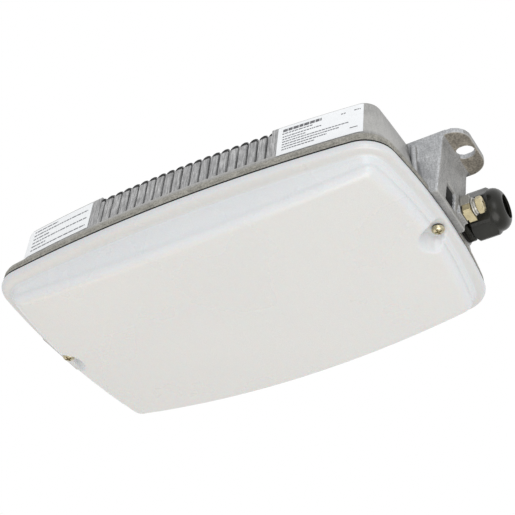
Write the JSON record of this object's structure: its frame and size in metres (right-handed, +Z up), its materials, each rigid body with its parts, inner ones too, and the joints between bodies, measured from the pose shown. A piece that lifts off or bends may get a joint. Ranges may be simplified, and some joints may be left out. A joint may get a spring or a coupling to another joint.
{
  "type": "sealed led bulkhead luminaire",
  "caption": "Flat sealed LED luminaire for a ceiling or wall: finned cast housing, opal screw-on cover, cable gland, fixing lugs and an outside earth clamp.",
  "frame": {"origin": "centre of the ceiling plane, level with the backs of the two fixing lugs", "axes": "+X along the length towards the cable gland and the earth clamp, +Y across the width, +Z up into the ceiling; the opal cover faces down"},
  "size_m": [0.3565, 0.192, 0.0668],
  "materials": {
    "casting": "as cast, lightly blasted",
    "opal": "satin opal",
    "seal_rubber": "matte",
    "black_polyamide": "fine satin",
    "plated_brass": "dull plated",
    "bright_steel": "zinc plated",
    "white_paint": "matte white",
    "board": "white solder mask",
    "led_phosphor": "yellow phosphor",
    "driver_plastic": "matte",
    "terminal_plastic": "matte",
    "brown_sheath": "satin",
    "blue_sheath": "satin",
    "green_sheath": "satin",
    "red_sheath": "satin",
    "black_sheath": "satin",
    "label_film": "printed film"
  },
  "bodies": {
    "housing_body": {"housing": "casting", "fin_deck": "casting", "end_block_east": "casting", "end_block_west": "casting", "end_lug_east": "casting", "end_lug_west": "casting", "cover_gasket": "seal_rubber", "gear_tray": "white_paint", "tray_screw_1": "bright_steel", "tray_screw_2": "bright_steel", "tray_screw_3": "bright_steel", "tray_screw_4": "bright_steel", "led_board_front": "board", "led_board_rear": "board", "led_front_1": "led_phosphor", "led_front_2": "led_phosphor", "led_front_3": "led_phosphor", "led_front_4": "led_phosphor", "led_front_5": "led_phosphor", "led_front_6": "led_phosphor", "led_rear_1": "led_phosphor", "led_rear_2": "led_phosphor", "led_rear_3": "led_phosphor", "led_rear_4": "led_phosphor", "led_rear_5": "led_phosphor", "led_rear_6": "led_phosphor", "driver_case": "driver_plastic", "driver_lid": "driver_plastic", "terminal_block": "terminal_plastic", "live_wire": "brown_sheath", "neutral_wire": "blue_sheath", "earth_wire": "green_sheath", "led_wire_plus": "red_sheath", "led_wire_minus": "black_sheath", "led_link_wire": "red_sheath", "gland_body": "black_polyamide", "gland_ring": "seal_rubber", "gland_seal": "seal_rubber", "rating_label": "label_film", "instruction_label": "label_film"},
    "cover": {"opal_cover": "opal"},
    "ring_east": {"screw_ring_east": "seal_rubber"},
    "screw_east": {"cover_screw_east": "plated_brass"},
    "ring_west": {"screw_ring_west": "seal_rubber"},
    "screw_west": {"cover_screw_west": "plated_brass"},
    "claw": {"gland_claw": "black_polyamide"},
    "cap": {"gland_cap": "black_polyamide"},
    "plug_seal": {"plug_ring": "seal_rubber"},
    "plug": {"blanking_plug": "black_polyamide"},
    "clamp": {"earth_saddle": "bright_steel", "earth_block": "plated_brass", "earth_washer": "bright_steel"},
    "clamp_bolt": {"earth_bolt": "plated_brass"},
    "inner_clamp": {"inner_earth_washer": "plated_brass"},
    "inner_screw": {"inner_earth_screw": "plated_brass"},
    "pole_screw_1": {"terminal_screw_1": "bright_steel"},
    "pole_screw_2": {"terminal_screw_2": "bright_steel"},
    "pole_screw_3": {"terminal_screw_3": "bright_steel"}
  },
  "joints": [
    {"name": "cover_lift", "type": "slide", "parent": "housing_body", "child": "cover", "axis": [0, 0, -1], "range_m": [0, 0.06]},
    {"name": "screw_east_out", "type": "slide", "parent": "cover", "child": "ring_east", "axis": [0, 0, -1], "range_m": [0, 0.015]},
    {"name": "screw_east_turn", "type": "hinge", "parent": "ring_east", "child": "screw_east", "pos_m": [0.1427, 0, -0.048], "axis": [0, 0, -1], "range_deg": [0, 6760]},
    {"name": "screw_west_out", "type": "slide", "parent": "cover", "child": "ring_west", "axis": [0, 0, -1], "range_m": [0, 0.015]},
    {"name": "screw_west_turn", "type": "hinge", "parent": "ring_west", "child": "screw_west", "pos_m": [-0.1427, 0, -0.048], "axis": [0, 0, -1], "range_deg": [0, 6760]},
    {"name": "cap_out", "type": "slide", "parent": "housing_body", "child": "claw", "axis": [1, 0, 0], "range_m": [0, 0.006]},
    {"name": "cap_turn", "type": "hinge", "parent": "claw", "child": "cap", "pos_m": [0.165, 0.034, -0.017], "axis": [1, 0, 0], "range_deg": [0, 1445]},
    {"name": "plug_out", "type": "slide", "parent": "housing_body", "child": "plug_seal", "axis": [-1, 0, 0], "range_m": [0, 0.014]},
    {"name": "plug_turn", "type": "hinge", "parent": "plug_seal", "child": "plug", "pos_m": [-0.15, -0.034, -0.017], "axis": [-1, 0, 0], "range_deg": [0, 3370]},
    {"name": "earth_out", "type": "slide", "parent": "housing_body", "child": "clamp", "axis": [1, 0, 0], "range_m": [0, 0.003]},
    {"name": "earth_turn", "type": "hinge", "parent": "clamp", "child": "clamp_bolt", "pos_m": [0.168, 0.0092, -0.0315], "axis": [1, 0, 0], "range_deg": [0, 1085]},
    {"name": "inner_earth_out", "type": "slide", "parent": "housing_body", "child": "inner_clamp", "axis": [0, 0, -1], "range_m": [0, 0.003]},
    {"name": "inner_earth_turn", "type": "hinge", "parent": "inner_clamp", "child": "inner_screw", "pos_m": [0.101, -0.056, -0.029], "axis": [0, 0, -1], "range_deg": [0, 1550]},
    {"name": "pole_1_turn", "type": "hinge", "parent": "housing_body", "child": "pole_screw_1", "pos_m": [0.099, 0.019, -0.019], "axis": [0, 0, -1], "range_deg": [0, 1440]},
    {"name": "pole_2_turn", "type": "hinge", "parent": "housing_body", "child": "pole_screw_2", "pos_m": [0.099, 0.033, -0.019], "axis": [0, 0, -1], "range_deg": [0, 1440]},
    {"name": "pole_3_turn", "type": "hinge", "parent": "housing_body", "child": "pole_screw_3", "pos_m": [0.099, 0.047, -0.019], "axis": [0, 0, -1], "range_deg": [0, 1440]}
  ],
  "couplings": [
    {"joint": "screw_east_turn", "follows": "screw_east_out", "rad_per_m": 7854},
    {"joint": "screw_west_turn", "follows": "screw_west_out", "rad_per_m": 7854},
    {"joint": "cap_turn", "follows": "cap_out", "rad_per_m": 4188.8},
    {"joint": "plug_turn", "follows": "plug_out", "rad_per_m": 4188.8},
    {"joint": "earth_turn", "follows": "earth_out", "rad_per_m": 6283.2},
    {"joint": "inner_earth_turn", "follows": "inner_earth_out", "rad_per_m": 8976}
  ]
}
